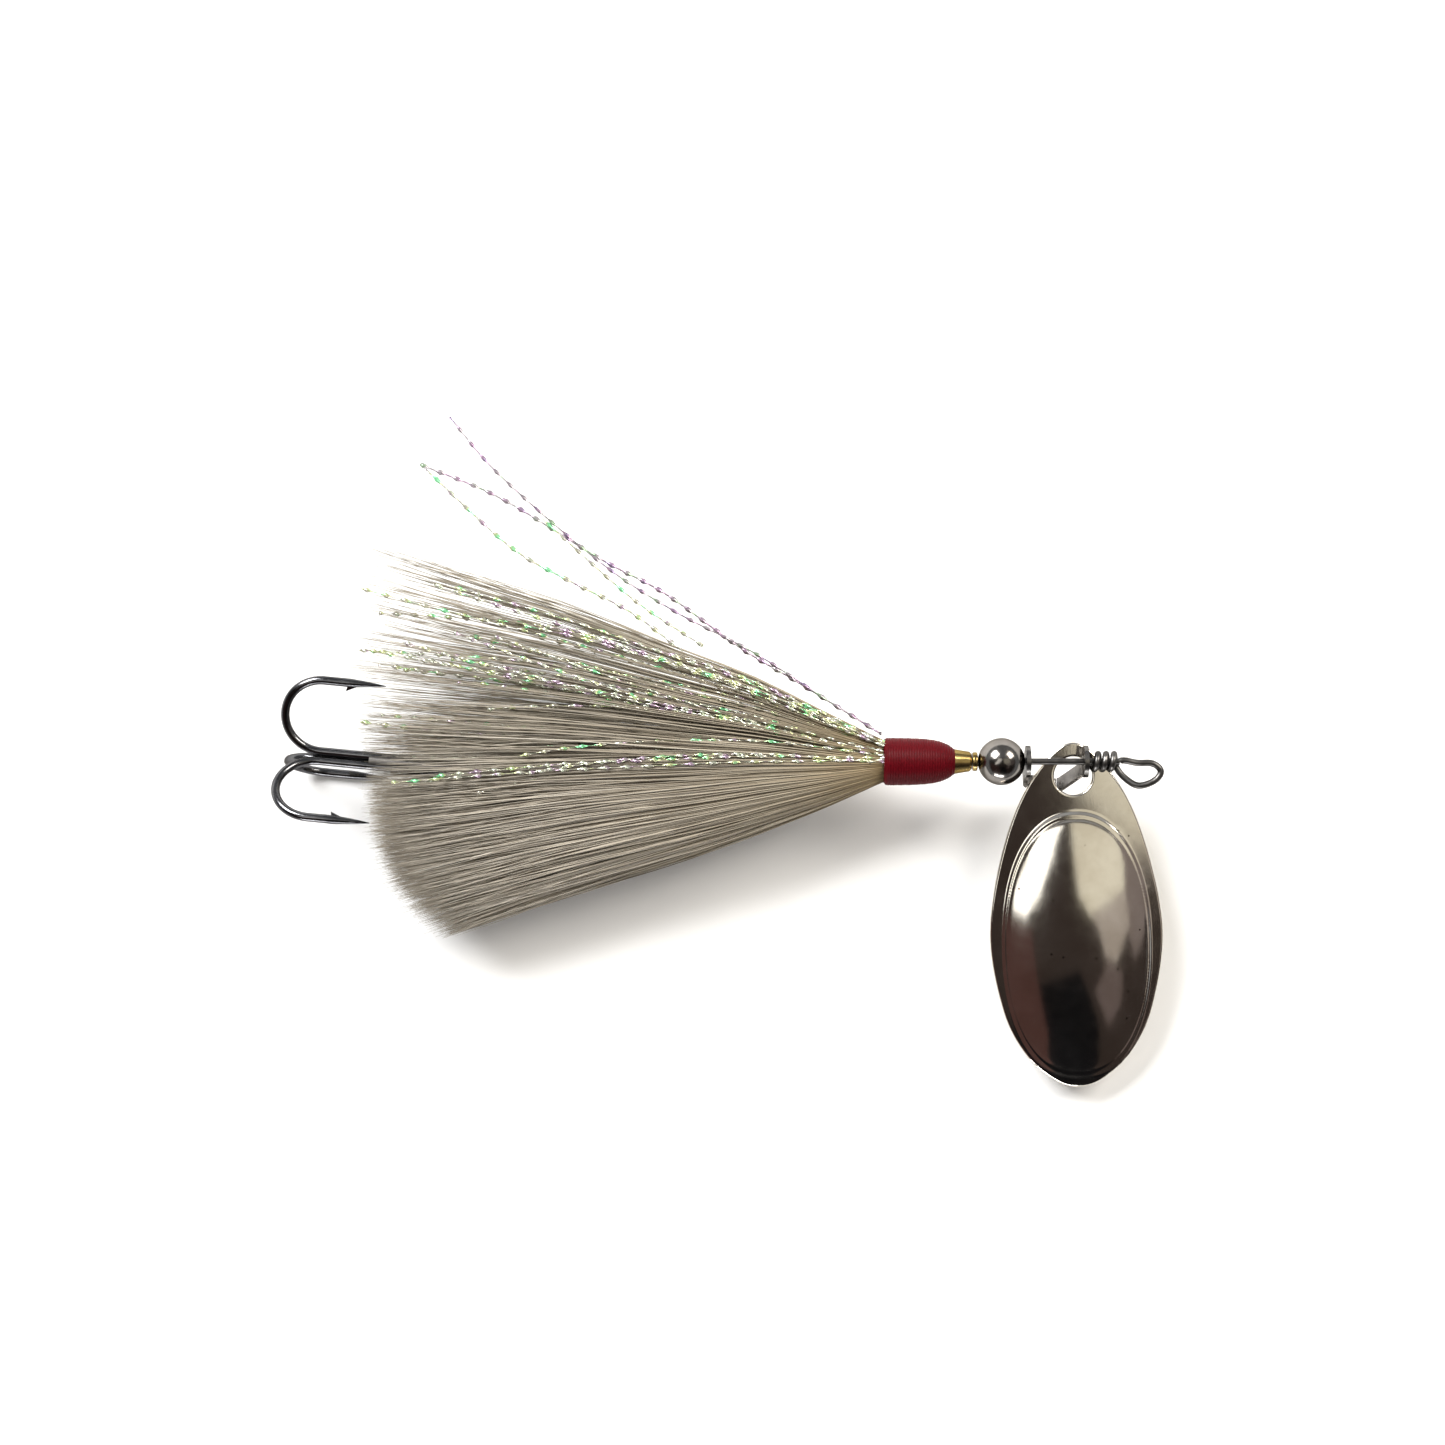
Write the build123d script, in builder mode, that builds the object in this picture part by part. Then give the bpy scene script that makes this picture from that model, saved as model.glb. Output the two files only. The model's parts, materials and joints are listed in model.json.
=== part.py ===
"""Dressed inline spinner: one bent wire carries a clevis with its blade, a bead, a brass body with a
tied hair dressing, and a treble hook that hangs from the wire's rear loop.

Units are mm. +X runs forward along the wire to the line tie, +Z is up from the table the lure lies on.
The origin is where the fishing line seats in the front eye.
"""

from build123d import *
from math import asin, cos, degrees, radians, sin
import os

os.makedirs("parts", exist_ok=True)

# ---- driving dimensions -------------------------------------------------------------------------
WIRE_D = 0.66               # stainless lure wire
SHAFT_Y = 1.10              # the wire's straight run passes this far above the line's seat
TABLE_DROP = 5.85           # from the wire's axis down to the table

WRAP_R = 0.75               # radius of the wraps' helix
WRAP_PITCH = 0.80
WRAP_TURNS = 3
EYE_FRONT = 0.52            # wire centre at the front of the line tie
FRONT_WRAP_X = -3.95        # where the front wraps begin
REAR_WRAP_X = -59.3         # where the rear wraps begin
LOOP_REAR_X = -64.67        # wire centre at the rear of the hook's loop
LOOP_DROP = 1.60            # from the wire's axis to the middle of the loop

EAR_FRONT_X = -7.00         # clevis ears, measured at the middle of the sheet
EAR_REAR_X = -12.78
EAR_D = 3.2
EAR_HOLE_D = 0.90
STRIP_T = 0.45
STRIP_W = 1.4
CLEVIS_ROLL = 60            # how far the clevis has rolled under the wire, from level

BLADE_LENGTH = 35.3
BLADE_HALF_WIDTH = 8.8
BLADE_T = 0.5
BLADE_HOLE_D = 3.8
BLADE_HOLE_FROM_TIP = 3.4
BLADE_LEAN = 1.8            # the blade's long axis leans this far forward
DOME_HALF_LENGTH = 13.1
DOME_HALF_WIDTH = 7.2
DOME_FROM_TIP = 20.7        # middle of the dome
DOME_HEIGHT = 1.25
STEP_MARGIN = 0.45          # the step around the dome
STEP_HEIGHT = 0.22

BEAD_D = 4.75
BEAD_X = -15.42
BORE_D = 0.86               # running clearance on the wire
SPACER_X = -17.82           # front face of the spacer ring
SPACER_L = 0.52
SPACER_D = 1.9
NOSE_X = -18.42
NOSE_D = 2.0
NOSE_BACK_D = 2.5
THREAD_FRONT_X = -20.13
THREAD_REAR_X = -27.25
THREAD_D = 4.8
TUBE_D = 2.3
TUBE_REAR_X = -29.6

HAIR_FRONT_X = -27.3
HAIR_REAR_X = -76.4
HAIR_SPLIT = 0.2            # daylight between neighbouring clumps
WIRE_TUNNEL_D = 1.3         # room for the wire through the clumps
HOOK_TUNNEL_H = 6.8         # room for the rear loop and the hook's shank
HOOK_TUNNEL_W = 7.4
HOOK_TUNNEL_X = -55.6
FLASH_D = 0.4

HOOK_WIRE_D = 0.87
HOOK_GAP = 8.0              # from the treble's axis to a point
HOOK_BEND_S = 23.1          # along the shank from the eye's centre to the bend's far side
HOOK_TIP_S = 12.8           # where the points end
HOOK_BARB_S = 16.6
POINT_LENGTH = 3.6          # the ground taper of each point
BARB_LENGTH = 1.3
BARB_T = 0.36
BARB_ROOT = 1.6             # wire behind the point that carries the barb
EYE_NECK_S = 2.7            # where the eye's wire becomes the two shanks
HOOK_EYE_R = 1.30
EYE_FLARE_R = 1.2           # the shanks' curve into the eye
SHANK_OFFSET = 0.56         # each shank stands this far from the treble's axis
HOOK_SHIFT = 0.27           # sideways from the loop's middle to the treble's axis, so the eye is centred
HOOK_YAW = 5.5              # the hook lies turned this far in the table's plane
SINGLE_ANGLE = -17.5        # roll of the single hook about the shank, the other two follow at 120
BRAZE_D = 1.7
BRAZE_FROM_S = 3.2
BRAZE_TO_S = 14.0

# ---- frames -------------------------------------------------------------------------------------
WIRE_R = WIRE_D / 2
SHAFT = Vector(0, SHAFT_Y, 0)
SHAFT_AXIS = Axis(SHAFT, (1, 0, 0))
TOP = Plane(origin=SHAFT, x_dir=(1, 0, 0), z_dir=(0, 0, 1))
HANG = Vector(0, -cos(radians(CLEVIS_ROLL)), -sin(radians(CLEVIS_ROLL)))
CLEVIS_MID_X = (EAR_FRONT_X + EAR_REAR_X) / 2
CLEVIS_PLANE = Plane(
    origin=SHAFT + Vector(CLEVIS_MID_X, 0, 0),
    x_dir=(1, 0, 0),
    z_dir=(0, sin(radians(CLEVIS_ROLL)), -cos(radians(CLEVIS_ROLL))),
)


def across(x):
    """A plane square to the wire at x, with its own x along world Y and its own y along world Z."""
    return Plane(origin=(x, SHAFT_Y, 0), x_dir=(0, 1, 0), z_dir=(1, 0, 0))


# ---- wire: line tie, front wraps, straight run, rear loop, rear wraps ------------------------------
front_shoulder_x = FRONT_WRAP_X + 0.35
rear_shoulder_x = REAR_WRAP_X - 0.35
with BuildPart() as wire_shaft:
    with BuildSketch(across(rear_shoulder_x)):
        Circle(WIRE_R)
    extrude(amount=front_shoulder_x - rear_shoulder_x)

    # The front eye hangs to one side and its end comes back under the wire to start the wraps.
    with BuildLine(TOP) as eye_path:
        Spline(
            (front_shoulder_x, 0, 0),
            (-1.9, -0.12, 0),
            (-0.15, -0.25, 0),
            (EYE_FRONT, -1.0, 0),
            (0.1, -1.75, 0),
            (-0.7, -2.2, 0),
            (-1.7, -2.4, -0.1),
            (-2.7, -1.9, -0.4),
            (FRONT_WRAP_X, 0, -WRAP_R),
            tangents=[(1, -0.05, 0), (-0.1, 1, 0)],
        )
    with BuildSketch(Plane(origin=eye_path.line @ 0, z_dir=eye_path.line % 0)):
        Circle(WIRE_R)
    sweep(path=eye_path.line)

    # The rear loop is round enough for the hook's eye to swing on it.
    with BuildLine(TOP) as loop_path:
        Spline(
            (rear_shoulder_x, 0, 0),
            (rear_shoulder_x - 2.9, -0.03, 0),
            (LOOP_REAR_X, -LOOP_DROP, 0),
            (rear_shoulder_x - 2.9, -2 * LOOP_DROP + 0.03, 0),
            (rear_shoulder_x - 1.0, -1.9, -0.45),
            (REAR_WRAP_X, 0, -WRAP_R),
            tangents=[(-1, 0, 0), (0.1, 1, 0)],
        )
    with BuildSketch(Plane(origin=loop_path.line @ 0, z_dir=loop_path.line % 0)):
        Circle(WIRE_R)
    sweep(path=loop_path.line)

    # Each set of wraps is one helix that starts under the wire, moving toward +Y.
    for start, step in ((FRONT_WRAP_X, -1), (REAR_WRAP_X, 1)):
        turns = [radians(30 * i) for i in range(12 * WRAP_TURNS + 1)]
        with BuildLine(TOP) as wrap_path:
            Spline(
                *[
                    (start + step * WRAP_PITCH * t / radians(360), WRAP_R * sin(t), -WRAP_R * cos(t))
                    for t in turns
                ],
            )
        with BuildSketch(Plane(origin=wrap_path.line @ 0, z_dir=wrap_path.line % 0)):
            Circle(WIRE_R)
        sweep(path=wrap_path.line)
wire_shaft.part.label = "wire_shaft"
export_step(wire_shaft.part, "parts/wire_shaft.step")

# ---- clevis: folded strip with a pierced ear at each end -------------------------------------------
half_span = (EAR_FRONT_X - EAR_REAR_X) / 2
LEG_BOTTOM = Vector(0.6, 5.1)
LEG_TOP = Vector(half_span, 1.3)
with BuildPart() as clevis:
    with BuildSketch(CLEVIS_PLANE):
        with BuildLine():
            FilletPolyline(
                (-half_span, 0),
                (-half_span, 4.0),
                LEG_BOTTOM,
                LEG_TOP,
                (half_span, 0),
                radius=0.75,
            )
        trace(line_width=STRIP_T)
    extrude(amount=STRIP_W / 2, both=True)
    for x in (EAR_FRONT_X, EAR_REAR_X):
        with BuildSketch(across(x)):
            Circle(EAR_D / 2)
        extrude(amount=STRIP_T / 2, both=True)
    with BuildSketch(across(EAR_REAR_X - STRIP_T)):
        Circle(EAR_HOLE_D / 2)
    extrude(amount=EAR_FRONT_X - EAR_REAR_X + 2 * STRIP_T, mode=Mode.SUBTRACT)
clevis.part.label = "clevis"
export_step(clevis.part, "parts/clevis.step")

# ---- blade: leaf outline, pierced near the tip, with a stepped oval dome ---------------------------
HOLE_UP_LEG = 0.58          # share of the clevis's front leg below the hole's centre
hole_on_leg = LEG_BOTTOM + (LEG_TOP - LEG_BOTTOM) * HOLE_UP_LEG
blade_hole = CLEVIS_PLANE.from_local_coords(hole_on_leg)
below_hole = BLADE_LENGTH - BLADE_HOLE_FROM_TIP
slope = degrees(asin((TABLE_DROP + blade_hole.Z - BLADE_T / 2) / below_hole))
BLADE_PLANE = Plane(origin=blade_hole).rotated((slope, 0, 0)).rotated((0, 0, BLADE_LEAN))
BLADE_PLANE = Plane(origin=blade_hole, x_dir=BLADE_PLANE.x_dir, z_dir=BLADE_PLANE.z_dir)
DOME_Y = BLADE_HOLE_FROM_TIP - DOME_FROM_TIP


def bend_radius(half_span_mm, rise):
    """Radius of the arc that rises this much over this half span."""
    return (half_span_mm**2 + rise**2) / (2 * rise)


def dome_cap(apex, margin):
    """The oval's column under a shallow cap, whose crown stands at apex above the blade's middle."""
    along = bend_radius(DOME_HALF_LENGTH, DOME_HEIGHT)
    about = bend_radius(DOME_HALF_WIDTH, DOME_HEIGHT)
    side = Plane(
        origin=BLADE_PLANE.from_local_coords(Vector(0, DOME_Y, apex)),
        x_dir=BLADE_PLANE.y_dir,
        z_dir=BLADE_PLANE.x_dir,
    )
    spin = Axis(side.from_local_coords(Vector(0, -about, 0)), BLADE_PLANE.y_dir)
    edge = DOME_HALF_LENGTH * 1.2
    drop = along - (along**2 - edge**2) ** 0.5
    with BuildPart() as cap:
        with BuildSketch(side):
            with BuildLine():
                ThreePointArc((-edge, -drop), (0, 0), (edge, -drop))
                Polyline((edge, -drop), (edge, -about), (-edge, -about), (-edge, -drop))
            make_face()
        revolve(axis=spin)
        with BuildSketch(BLADE_PLANE.offset(-BLADE_T)):
            with Locations((0, DOME_Y)):
                Ellipse(DOME_HALF_WIDTH + margin, DOME_HALF_LENGTH + margin)
        extrude(amount=BLADE_T + crown + 1, mode=Mode.INTERSECT)
    return cap.part


plate_top = BLADE_T / 2
step_top = plate_top + STEP_HEIGHT
crown = step_top + DOME_HEIGHT

# Half widths down the blade, each with its distance from the tip.
LEAF = ((0.47, 3.5), (0.80, 9.9), (1.0, 19.0), (0.87, 27.1), (0.61, 31.9), (0.27, 34.6))
right_side = [(BLADE_HALF_WIDTH * share, BLADE_HOLE_FROM_TIP - down) for share, down in LEAF]
left_side = [(-across_blade, up) for across_blade, up in reversed(right_side)]
blade_outline = [(0, BLADE_HOLE_FROM_TIP), *right_side, (0, -below_hole), *left_side]

with BuildPart() as blade:
    add(dome_cap(crown, 0))
    with BuildSketch(BLADE_PLANE.offset(-BLADE_T / 2)):
        with Locations((0, DOME_Y)):
            Ellipse(DOME_HALF_WIDTH + STEP_MARGIN, DOME_HALF_LENGTH + STEP_MARGIN)
    extrude(amount=BLADE_T + STEP_HEIGHT)
    with BuildSketch(BLADE_PLANE.offset(-BLADE_T / 2)):
        with BuildLine():
            Spline(*blade_outline, periodic=True)
        make_face()
    extrude(amount=BLADE_T)
    # The back is hollow under the dome.
    add(dome_cap(crown - BLADE_T, -BLADE_T), mode=Mode.SUBTRACT)
    with BuildSketch(BLADE_PLANE.offset(-BLADE_T)):
        Circle(BLADE_HOLE_D / 2)
    extrude(amount=2 * BLADE_T, mode=Mode.SUBTRACT)
blade.part.label = "blade"
export_step(blade.part, "parts/blade.step")

# ---- bead, spacer ring, brass body -----------------------------------------------------------------
with BuildPart() as bead:
    with BuildSketch(TOP):
        with Locations((BEAD_X, 0)):
            Circle(BEAD_D / 2)
        with Locations((BEAD_X, BORE_D / 2)):
            Rectangle(BEAD_D, BEAD_D, align=(Align.CENTER, Align.MIN), mode=Mode.INTERSECT)
    revolve(axis=SHAFT_AXIS)
bead.part.label = "bead"
export_step(bead.part, "parts/bead.step")

with BuildPart() as spacer_ring:
    with BuildSketch(across(SPACER_X - SPACER_L)):
        Circle(SPACER_D / 2)
        Circle(BORE_D / 2, mode=Mode.SUBTRACT)
    extrude(amount=SPACER_L)
    fillet(spacer_ring.edges().filter_by(GeomType.CIRCLE).sort_by(SortBy.LENGTH)[-2:], radius=0.16)
spacer_ring.part.label = "spacer_ring"
export_step(spacer_ring.part, "parts/spacer_ring.step")

with BuildPart() as brass_body:
    with BuildSketch(TOP):
        with BuildLine():
            Polyline(
                (NOSE_X, BORE_D / 2),
                (NOSE_X, NOSE_D / 2 - 0.2),
                (NOSE_X - 0.2, NOSE_D / 2),
                (THREAD_FRONT_X, NOSE_BACK_D / 2),
                (THREAD_FRONT_X, TUBE_D / 2),
                (TUBE_REAR_X, TUBE_D / 2),
                (TUBE_REAR_X, BORE_D / 2),
                close=True,
            )
        make_face()
    revolve(axis=SHAFT_AXIS)
brass_body.part.label = "brass_body"
export_step(brass_body.part, "parts/brass_body.step")

# ---- thread wrap over the tube ----------------------------------------------------------------------
thread_r = THREAD_D / 2
with BuildPart() as thread_wrap:
    with BuildSketch(TOP):
        with BuildLine():
            Spline(
                (THREAD_FRONT_X, NOSE_BACK_D / 2 + 0.02),
                (THREAD_FRONT_X - 0.7, 0.71 * thread_r),
                (THREAD_FRONT_X - 2.2, 0.93 * thread_r),
                (THREAD_FRONT_X - 4.5, thread_r),
                (THREAD_REAR_X + 0.5, thread_r),
            )
            ThreePointArc(
                (THREAD_REAR_X + 0.5, thread_r),
                (THREAD_REAR_X + 0.15, thread_r - 0.15),
                (THREAD_REAR_X, thread_r - 0.5),
            )
            Polyline(
                (THREAD_REAR_X, thread_r - 0.5),
                (THREAD_REAR_X, TUBE_D / 2),
                (THREAD_FRONT_X, TUBE_D / 2),
                (THREAD_FRONT_X, NOSE_BACK_D / 2 + 0.02),
            )
        make_face()
    revolve(axis=SHAFT_AXIS)
thread_wrap.part.label = "thread_wrap"
export_step(thread_wrap.part, "parts/thread_wrap.step")

# ---- hair dressing: one fan, split into clumps along rays from the tie --------------------------------
# Each station: along the wire, sideways middle, middle height, half width, half height.
FAN = (
    (HAIR_FRONT_X, 0.0, 0.0, 2.0, 2.0),
    (-39.5, 0.9, -0.4, 6.8, 3.4),
    (-57.5, 0.6, -0.9, 13.2, 4.8),
    (-71.5, 1.3, -0.9, 18.0, 4.9),
    (HAIR_REAR_X, 2.0, -1.2, 17.0, 4.2),
)
FAN_APEX_X = -20.0
FAN_RAYS = (-23, -13, -5, 2, 9, 16, 26)


def hair_clump(number):
    """The part of the fan between two rays, with the tunnels for the wire and the hook."""
    low = FAN_RAYS[number - 1]
    high = FAN_RAYS[number]
    reach = 1.5 * (FAN_APEX_X - HAIR_REAR_X)
    with BuildPart() as clump:
        for x, middle_y, middle_z, half_width, half_height in FAN:
            with BuildSketch(across(x)):
                with Locations((middle_y, middle_z)):
                    Ellipse(half_width, half_height)
        loft()
        with BuildSketch(TOP.offset(-2 * TABLE_DROP)):
            with BuildLine():
                Polyline(
                    (FAN_APEX_X, 0),
                    (FAN_APEX_X - reach * cos(radians(low)), reach * sin(radians(low)) + HAIR_SPLIT / 2),
                    (FAN_APEX_X - reach * cos(radians(high)), reach * sin(radians(high)) - HAIR_SPLIT / 2),
                    close=True,
                )
            make_face()
        extrude(amount=4 * TABLE_DROP, mode=Mode.INTERSECT)
        with BuildSketch(across(HAIR_REAR_X - 1)):
            Ellipse(HOOK_TUNNEL_W / 2, HOOK_TUNNEL_H / 2)
        extrude(amount=HOOK_TUNNEL_X - HAIR_REAR_X + 1, mode=Mode.SUBTRACT)
        with BuildSketch(across(TUBE_REAR_X - 0.1)):
            Circle(TUBE_D / 2)
        extrude(amount=HAIR_FRONT_X - TUBE_REAR_X + 0.2, mode=Mode.SUBTRACT)
        with BuildSketch(across(HOOK_TUNNEL_X - 1)):
            Circle(WIRE_TUNNEL_D / 2)
        extrude(amount=TUBE_REAR_X - HOOK_TUNNEL_X + 1, mode=Mode.SUBTRACT)
    clump.part.label = f"hair_clump_{number}"
    return clump.part


for number in range(1, len(FAN_RAYS)):
    export_step(hair_clump(number), f"parts/hair_clump_{number}.step")

# ---- loose flash strands that leave the thread's rear edge ------------------------------------------
FLASH_ROUTES = (
    ((-27.5, 2.7, 0.8), (-33.1, 6.6, 0.9), (-40.0, 10.8, 0.7), (-48.3, 15.3, 0.6), (-55.5, 20.0, 0.6),
     (-65.5, 28.6, 0.5), (-70.5, 34.5, 0.3)),
    ((-27.5, 2.8, -0.4), (-34.0, 7.2, -0.7), (-41.6, 12.0, -0.7), (-49.0, 16.7, -0.8),
     (-56.0, 20.8, -1.2), (-65.5, 26.4, -1.2), (-73.7, 29.9, -1.0)),
)
for number, route in enumerate(FLASH_ROUTES, start=1):
    with BuildPart() as flash_strand:
        with BuildLine(TOP) as strand_path:
            Spline(*route)
        with BuildSketch(Plane(origin=strand_path.line @ 0, z_dir=strand_path.line % 0)):
            Circle(FLASH_D / 2)
        sweep(path=strand_path.line)
    flash_strand.part.label = f"flash_strand_{number}"
    export_step(flash_strand.part, f"parts/flash_strand_{number}.step")

# ---- treble hook: a bent double hook, a single hook and the braze between them -----------------------
# The treble's frame: origin in the middle of its eye, +Z back along the shank, +X at roll 0.
yaw = radians(HOOK_YAW)
TREBLE = Plane(
    origin=SHAFT + Vector(LOOP_REAR_X, HOOK_SHIFT - LOOP_DROP, 0),
    x_dir=(sin(yaw), cos(yaw), 0),
    z_dir=(-cos(yaw), sin(yaw), 0),
)
bend_r = (HOOK_GAP - SHANK_OFFSET) / 2
bend_s = HOOK_BEND_S - bend_r - HOOK_WIRE_D / 2
hook_r = HOOK_WIRE_D / 2


def hook_plane(roll):
    """The plane of one hook: its own x runs back along the shank, its own y out to the point."""
    out = TREBLE.x_dir * cos(radians(roll)) + TREBLE.y_dir * sin(radians(roll))
    return Plane(origin=TREBLE.origin, x_dir=TREBLE.z_dir, z_dir=TREBLE.z_dir.cross(out))


def hook_leg(roll):
    """One hook's wire, from the eye's neck down the shank and round the bend to its point's root."""
    plane = hook_plane(roll)
    with BuildPart() as leg:
        with BuildLine(plane) as run:
            Line((EYE_NECK_S, SHANK_OFFSET), (bend_s, SHANK_OFFSET))
            ThreePointArc(
                (bend_s, SHANK_OFFSET),
                (bend_s + bend_r, SHANK_OFFSET + bend_r),
                (bend_s, HOOK_GAP),
            )
            Line((bend_s, HOOK_GAP), (HOOK_TIP_S + POINT_LENGTH, HOOK_GAP))
        with BuildSketch(Plane(origin=run.line @ 0, z_dir=run.line % 0)):
            Circle(hook_r)
        sweep(path=run.line)
    return leg.part


def point_and_barb(roll):
    """The tapered point that ends one hook, with its barb on the inner side."""
    plane = hook_plane(roll)
    tip_frame = Plane(
        origin=plane.from_local_coords(Vector(HOOK_TIP_S + POINT_LENGTH, HOOK_GAP)),
        z_dir=TREBLE.z_dir * -1,
    )
    with BuildPart() as point:
        with BuildSketch(tip_frame):
            Circle(hook_r)
        with BuildSketch(tip_frame.offset(0.6 * POINT_LENGTH)):
            Circle(0.55 * hook_r)
        with BuildSketch(tip_frame.offset(POINT_LENGTH)):
            Circle(0.10 * hook_r)
        loft()
        with BuildSketch(tip_frame):
            Circle(hook_r)
        extrude(amount=-BARB_ROOT)
        with BuildSketch(plane):
            with BuildLine():
                Polyline(
                    (HOOK_BARB_S, HOOK_GAP - 0.7 * hook_r),
                    (HOOK_BARB_S + 0.15, HOOK_GAP - 2.0 * hook_r),
                    (HOOK_BARB_S - BARB_LENGTH, HOOK_GAP - 0.3 * hook_r),
                    (HOOK_BARB_S, HOOK_GAP),
                    close=True,
                )
            make_face()
        extrude(amount=BARB_T / 2, both=True)
    return point.part


DOUBLE_ROLLS = (SINGLE_ANGLE + 120, SINGLE_ANGLE + 240)
single_out = TREBLE.x_dir * cos(radians(SINGLE_ANGLE)) + TREBLE.y_dir * sin(radians(SINGLE_ANGLE))
EYE_PLANE = Plane(
    origin=TREBLE.origin - single_out * (SHANK_OFFSET / 2),
    x_dir=TREBLE.z_dir,
    z_dir=single_out * -1,
)
# The two shanks flare outward on arcs that run tangent into the eye's ring.
shank_y = SHANK_OFFSET * 3**0.5 / 2
flare_s = ((HOOK_EYE_R + EYE_FLARE_R) ** 2 - (shank_y + EYE_FLARE_R) ** 2) ** 0.5
flare_centre = Vector(flare_s, shank_y + EYE_FLARE_R)
ring_start = flare_centre * (HOOK_EYE_R / (HOOK_EYE_R + EYE_FLARE_R))
flare_middle = flare_centre - (flare_centre.normalized() + Vector(0, 1)).normalized() * EYE_FLARE_R
with BuildPart() as hook_double:
    with BuildLine(EYE_PLANE) as eye_wire:
        Line((EYE_NECK_S, shank_y), (flare_s, shank_y))
        ThreePointArc(
            (flare_s, shank_y), (flare_middle.X, flare_middle.Y), (ring_start.X, ring_start.Y)
        )
        ThreePointArc(
            (ring_start.X, ring_start.Y), (-HOOK_EYE_R, 0), (ring_start.X, -ring_start.Y)
        )
        ThreePointArc(
            (ring_start.X, -ring_start.Y), (flare_middle.X, -flare_middle.Y), (flare_s, -shank_y)
        )
        Line((flare_s, -shank_y), (EYE_NECK_S, -shank_y))
    for stretch in eye_wire.line.edges():
        with BuildSketch(Plane(origin=stretch @ 0, z_dir=stretch % 0)):
            Circle(hook_r)
        sweep(path=stretch)
    for roll in DOUBLE_ROLLS:
        add(hook_leg(roll))
        add(point_and_barb(roll))
hook_double.part.label = "hook_double"
export_step(hook_double.part, "parts/hook_double.step")

with BuildPart() as hook_single:
    add(hook_leg(SINGLE_ANGLE))
    add(point_and_barb(SINGLE_ANGLE))
hook_single.part.label = "hook_single"
export_step(hook_single.part, "parts/hook_single.step")

with BuildPart() as hook_braze:
    with BuildSketch(TREBLE.offset(BRAZE_FROM_S)):
        Circle(BRAZE_D / 2)
        with PolarLocations(SHANK_OFFSET, 3, start_angle=SINGLE_ANGLE):
            Circle(hook_r, mode=Mode.SUBTRACT)
    extrude(amount=BRAZE_TO_S - BRAZE_FROM_S)
hook_braze.part.label = "hook_braze"
export_step(hook_braze.part, "parts/hook_braze.step")
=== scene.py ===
"""Studio scene of the dressed inline spinner, seen from straight above. Units are metres."""

import json
import math
import random

import bpy
import numpy as np
from mathutils import Matrix, Vector
from mathutils.geometry import delaunay_2d_cdt


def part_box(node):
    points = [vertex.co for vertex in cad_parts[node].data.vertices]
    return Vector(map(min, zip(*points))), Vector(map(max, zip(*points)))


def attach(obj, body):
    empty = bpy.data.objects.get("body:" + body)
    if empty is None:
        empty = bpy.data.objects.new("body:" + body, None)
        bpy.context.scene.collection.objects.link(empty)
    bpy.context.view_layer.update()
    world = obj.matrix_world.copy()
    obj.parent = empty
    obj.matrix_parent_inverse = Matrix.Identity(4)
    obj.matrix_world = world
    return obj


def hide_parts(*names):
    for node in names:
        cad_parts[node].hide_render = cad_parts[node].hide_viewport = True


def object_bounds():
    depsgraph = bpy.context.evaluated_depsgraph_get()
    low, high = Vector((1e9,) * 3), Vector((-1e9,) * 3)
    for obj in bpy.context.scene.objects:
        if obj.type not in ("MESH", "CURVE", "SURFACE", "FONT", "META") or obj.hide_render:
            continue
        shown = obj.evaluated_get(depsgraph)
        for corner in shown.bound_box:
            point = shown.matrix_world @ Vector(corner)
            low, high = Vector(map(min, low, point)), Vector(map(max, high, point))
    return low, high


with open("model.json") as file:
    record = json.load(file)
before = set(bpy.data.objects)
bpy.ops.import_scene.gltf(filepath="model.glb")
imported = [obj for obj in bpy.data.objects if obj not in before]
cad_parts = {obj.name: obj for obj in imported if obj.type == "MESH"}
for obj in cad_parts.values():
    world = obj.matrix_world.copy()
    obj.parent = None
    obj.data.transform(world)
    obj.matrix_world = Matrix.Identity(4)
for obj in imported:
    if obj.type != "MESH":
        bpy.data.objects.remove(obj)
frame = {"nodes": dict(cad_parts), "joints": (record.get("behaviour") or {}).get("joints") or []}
rest_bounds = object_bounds()

MM = 0.001
scene = bpy.context.scene
joints = {joint["name"]: joint for joint in frame["joints"]}
shaft_y = joints["bead_spin"]["pos_m"][1]
thread_low, thread_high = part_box("thread_wrap")
table_z = min(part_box("blade")[0].z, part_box("hook_double")[0].z)
tie_x = thread_low.x


# ---- materials ------------------------------------------------------------------------------------
def new_material(name):
    """A material with only its shader and output, and the tools to add nodes to it."""
    material = bpy.data.materials.new(name)
    material.use_nodes = True
    tree = material.node_tree
    return material, tree, tree.nodes["Principled BSDF"]


def add_node(tree, kind, **values):
    """A node whose named inputs or attributes are set."""
    node = tree.nodes.new(kind)
    for key, value in values.items():
        if key in node.inputs:
            node.inputs[key].default_value = value
        else:
            setattr(node, key, value)
    return node


def noise(tree, scale, detail=4.0, rough=0.55, stretch=(1, 1, 1)):
    """Noise at this many features per metre, in the object's own space, stretched along its axes."""
    place = add_node(tree, "ShaderNodeTexCoord")
    mapping = add_node(tree, "ShaderNodeMapping", Scale=stretch)
    tree.links.new(place.outputs["Object"], mapping.inputs["Vector"])
    texture = add_node(tree, "ShaderNodeTexNoise", Scale=scale, Detail=detail, Roughness=rough)
    tree.links.new(mapping.outputs["Vector"], texture.inputs["Vector"])
    return texture.outputs["Fac"]


def ramp(tree, factor, *stops):
    """Colours at places along a factor."""
    node = add_node(tree, "ShaderNodeValToRGB")
    elements = node.color_ramp.elements
    while len(elements) < len(stops):
        elements.new(0.5)
    for element, (place, colour) in zip(elements, stops):
        element.position = place
        element.color = (*colour, 1)
    tree.links.new(factor, node.inputs["Fac"])
    return node.outputs["Color"]


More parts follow.
